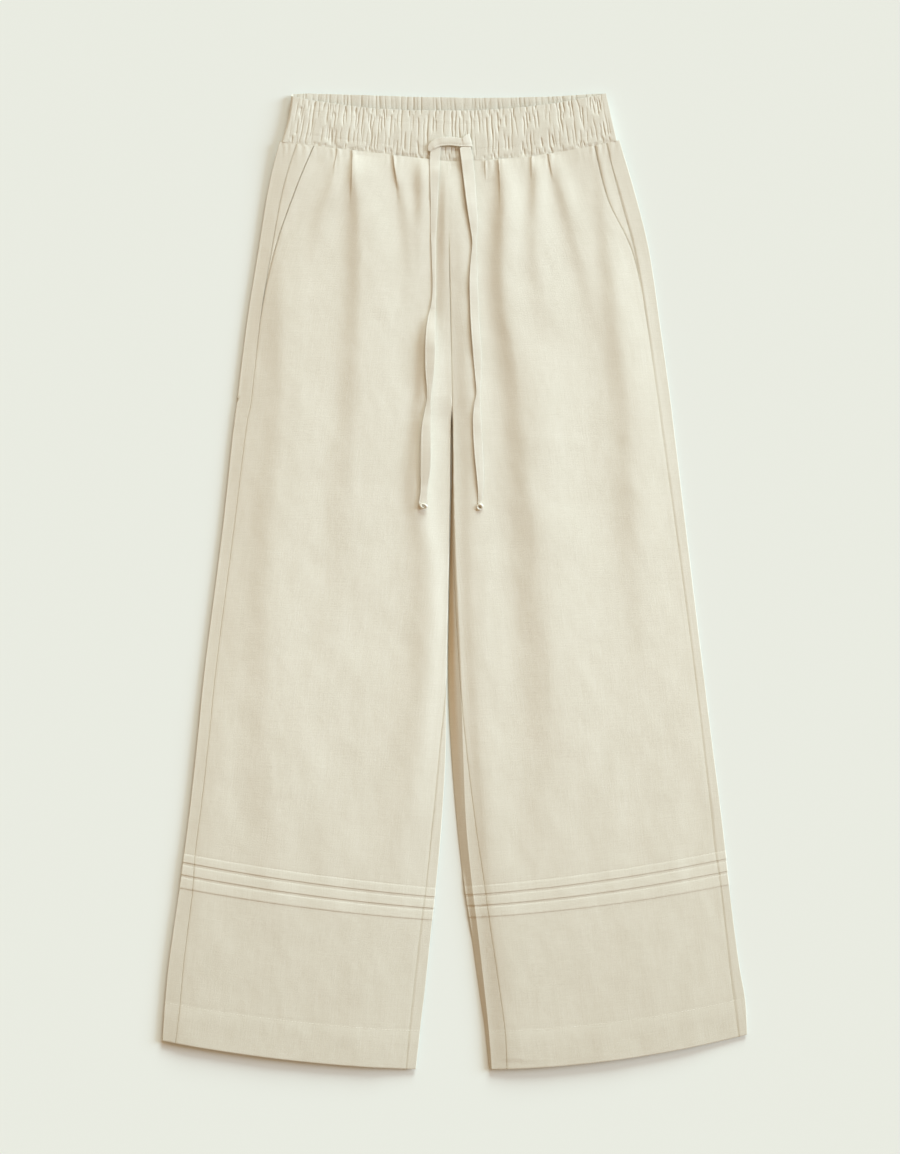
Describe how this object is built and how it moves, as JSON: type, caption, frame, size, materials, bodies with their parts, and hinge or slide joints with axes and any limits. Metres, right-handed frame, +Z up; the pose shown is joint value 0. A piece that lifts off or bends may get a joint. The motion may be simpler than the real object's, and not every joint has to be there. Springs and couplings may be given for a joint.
{
  "type": "wide-leg linen culottes",
  "caption": "Pull-on wide-leg linen culottes laid flat, front up: gathered elastic waist, flat tie, slant pockets, tucks above a deep hem.",
  "frame": {"origin": "on the table under the middle of the garment", "axes": "+X across to the wearer's left, +Y up the garment to the waist, +Z up off the table, out of the front"},
  "size_m": [0.6015, 1.004, 0.0152],
  "materials": {
    "linen": "matt plain-weave linen with slubs, natural oatmeal",
    "gathered_linen": "the same linen, gathered over elastic and stitched in channels",
    "linen_tape": "flat tie of the same linen, matt"
  },
  "bodies": {
    "root": {"front_left": "linen", "front_right": "linen", "back_left": "linen", "back_right": "linen", "pocket_left": "linen", "pocket_right": "linen", "waistband": "gathered_linen", "drawstring_left": "linen_tape", "drawstring_right": "linen_tape", "drawstring_knot": "linen_tape"}
  },
  "joints": []
}
